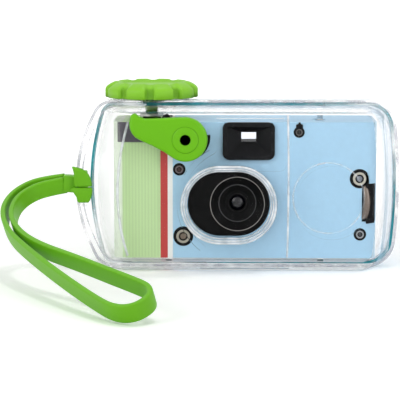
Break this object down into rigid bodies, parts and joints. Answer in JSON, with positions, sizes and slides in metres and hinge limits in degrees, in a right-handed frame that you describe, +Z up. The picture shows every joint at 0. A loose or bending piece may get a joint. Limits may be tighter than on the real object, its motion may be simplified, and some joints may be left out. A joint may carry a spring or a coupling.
{
  "type": "single-use film camera in a clear waterproof housing",
  "caption": "Waterproof single-use film camera: clear sealed housing with winding knob, shutter lever and looped wrist strap, and a wrapped film camera inside.",
  "frame": {"origin": "middle of the flat base, below the lens axis and midway between the inner camera's faces", "axes": "+X to the right as seen from the front, +Z up, -Y out of the lens towards the subject"},
  "size_m": [0.1515, 0.1415, 0.071],
  "materials": {
    "clear_housing": "clear moulded plastic",
    "seal_rubber": "soft, satin",
    "green_plastic": "moulded, slightly glossy",
    "black_plastic": "fine spark texture",
    "grey_plastic": "satin",
    "steel": "spring steel",
    "film_shell": "thin painted shell",
    "film_base": "coated film",
    "printed_card": "printed film, satin",
    "grip_green": "fine ribs",
    "patch_dark": "fine grain",
    "clear_lens": "polished",
    "strap_band": "soft moulded band, satin"
  },
  "bodies": {
    "housing": {"front_case": "clear_housing", "rear_case": "clear_housing", "case_gasket": "seal_rubber", "knob_o_ring": "seal_rubber", "axle_o_ring": "seal_rubber", "lever_spring": "steel", "strap_hitch": "strap_band", "wrist_strap": "strap_band", "cam_front_cover": "black_plastic", "cam_rear_cover": "black_plastic", "cam_frame": "black_plastic", "wrap_label": "printed_card", "grip_panel": "grip_green", "corner_patch": "patch_dark", "cover_posts": "black_plastic", "side_catch": "steel", "lens_surround": "black_plastic", "taking_lens": "clear_lens", "lens_ring": "black_plastic", "shutter_plate": "black_plastic", "shutter_spring": "steel", "viewfinder_frame": "black_plastic", "viewfinder_lens": "clear_lens", "eyepiece_lens": "clear_lens", "film_cartridge": "film_shell", "film_strip": "film_base", "ratchet_pawl": "black_plastic"},
    "winder": {"winding_knob": "green_plastic", "stem_clip": "steel", "drive_dog": "black_plastic", "ratchet_wheel": "black_plastic", "cartridge_spool": "grey_plastic"},
    "lever": {"shutter_lever": "green_plastic", "lever_axle": "black_plastic", "lever_crank": "black_plastic"},
    "button": {"shutter_button": "grey_plastic"},
    "blade": {"shutter_blade": "steel"},
    "sprocket": {"film_sprocket": "grey_plastic"},
    "reel": {"supply_reel": "film_base"},
    "counter": {"counter_disc": "grey_plastic"}
  },
  "joints": [
    {"name": "winder_turn", "type": "hinge", "parent": "housing", "child": "winder", "pos_m": [-0.0331, 0, 0.065], "axis": [0, 0, 1], "continuous": true},
    {"name": "lever_press", "type": "hinge", "parent": "housing", "child": "lever", "pos_m": [-0.0195, -0.02, 0.0508], "axis": [0, -1, 0], "range_deg": [0, 12], "stiffness_Nm_per_rad": 0.08, "springref_deg": -11.46},
    {"name": "button_travel", "type": "slide", "parent": "housing", "child": "button", "axis": [0, 0, -1], "range_m": [0, 0.0016]},
    {"name": "blade_swing", "type": "hinge", "parent": "housing", "child": "blade", "pos_m": [-0.0085, -0.0124, 0.0343], "axis": [0, 1, 0], "range_deg": [0, 30], "stiffness_Nm_per_rad": 0.0005, "springref_deg": -17.19},
    {"name": "sprocket_turn", "type": "hinge", "parent": "housing", "child": "sprocket", "pos_m": [0.0205, 0.00295, 0.0406], "axis": [0, 0, 1], "continuous": true},
    {"name": "reel_turn", "type": "hinge", "parent": "housing", "child": "reel", "pos_m": [0.0385, 0, 0.0262], "axis": [0, 0, 1], "continuous": true},
    {"name": "counter_turn", "type": "hinge", "parent": "housing", "child": "counter", "pos_m": [0.0314, 0.00295, 0.048], "axis": [0, 0, 1], "continuous": true}
  ],
  "couplings": [
    {"joint": "button_travel", "follows": "lever_press", "m_per_rad": 0.0075},
    {"joint": "sprocket_turn", "follows": "winder_turn", "ratio": 1.322},
    {"joint": "reel_turn", "follows": "winder_turn", "ratio": 0.86},
    {"joint": "counter_turn", "follows": "winder_turn", "ratio": -0.0441}
  ]
}
